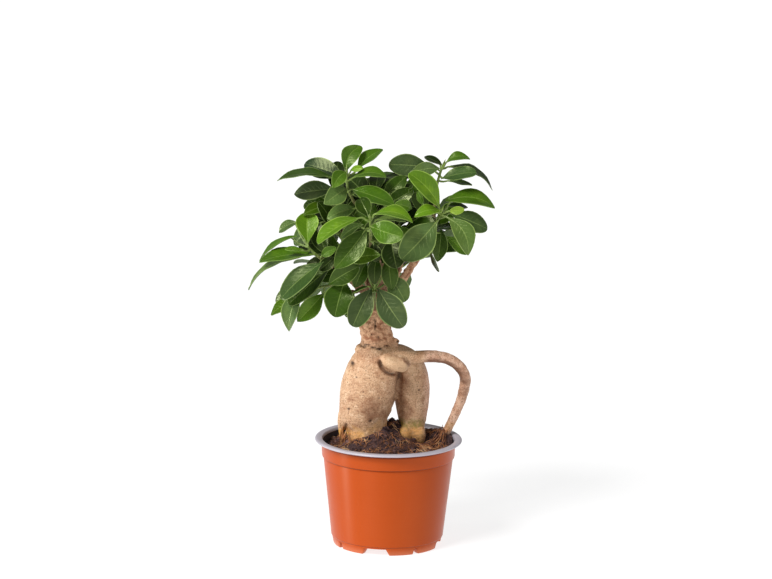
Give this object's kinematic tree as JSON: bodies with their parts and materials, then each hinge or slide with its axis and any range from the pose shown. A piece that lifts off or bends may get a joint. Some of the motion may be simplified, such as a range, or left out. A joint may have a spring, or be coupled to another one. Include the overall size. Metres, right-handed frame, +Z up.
{
  "type": "ginseng ficus in a nursery pot",
  "caption": "Small ficus with a swollen two-legged root, one arching aerial root, short branches of glossy oval leaves, potted in soil in a round plastic nursery pot.",
  "frame": {"origin": "middle of the pot's underside, on the surface that it stands on", "axes": "+Z up the pot's axis to the crown, front of the plant towards -Y, +X to the right as seen from the front"},
  "size_m": [0.1985, 0.1618, 0.3301],
  "materials": {
    "pot_plastic": "thin terracotta-orange thermoformed plastic, satin, with a pale grey rolled lip",
    "peat_soil": "dark crumbly peat with tan fibres",
    "bark": "pale tan skin on the swollen root, pinkish-brown bark above, greenish yellow at the soil line",
    "leaves": "satin mature green leaf",
    "bright_leaves": "glossy young green leaf with a pale margin",
    "dark_leaves": "satin dark green leaf"
  },
  "bodies": {
    "root": {"pot": "pot_plastic", "soil": "peat_soil", "root_trunk": "bark", "shoot_top_left": "bright_leaves", "shoot_centre_front": "bright_leaves", "shoot_low_front": "leaves", "shoot_low_left": "leaves", "shoot_left": "bright_leaves", "shoot_left_upper": "leaves", "shoot_upper_middle": "leaves", "shoot_top_right": "leaves", "shoot_right": "leaves", "shoot_back_left": "dark_leaves", "shoot_back_middle": "dark_leaves", "shoot_back_right": "dark_leaves", "shoot_back_low": "dark_leaves", "shoot_back_side": "dark_leaves", "shoot_back_corner": "dark_leaves", "shoot_inner_left": "dark_leaves", "shoot_inner_middle": "dark_leaves", "shoot_inner_right": "dark_leaves", "shoot_inner_top": "dark_leaves", "shoot_inner_low": "dark_leaves"}
  },
  "joints": []
}
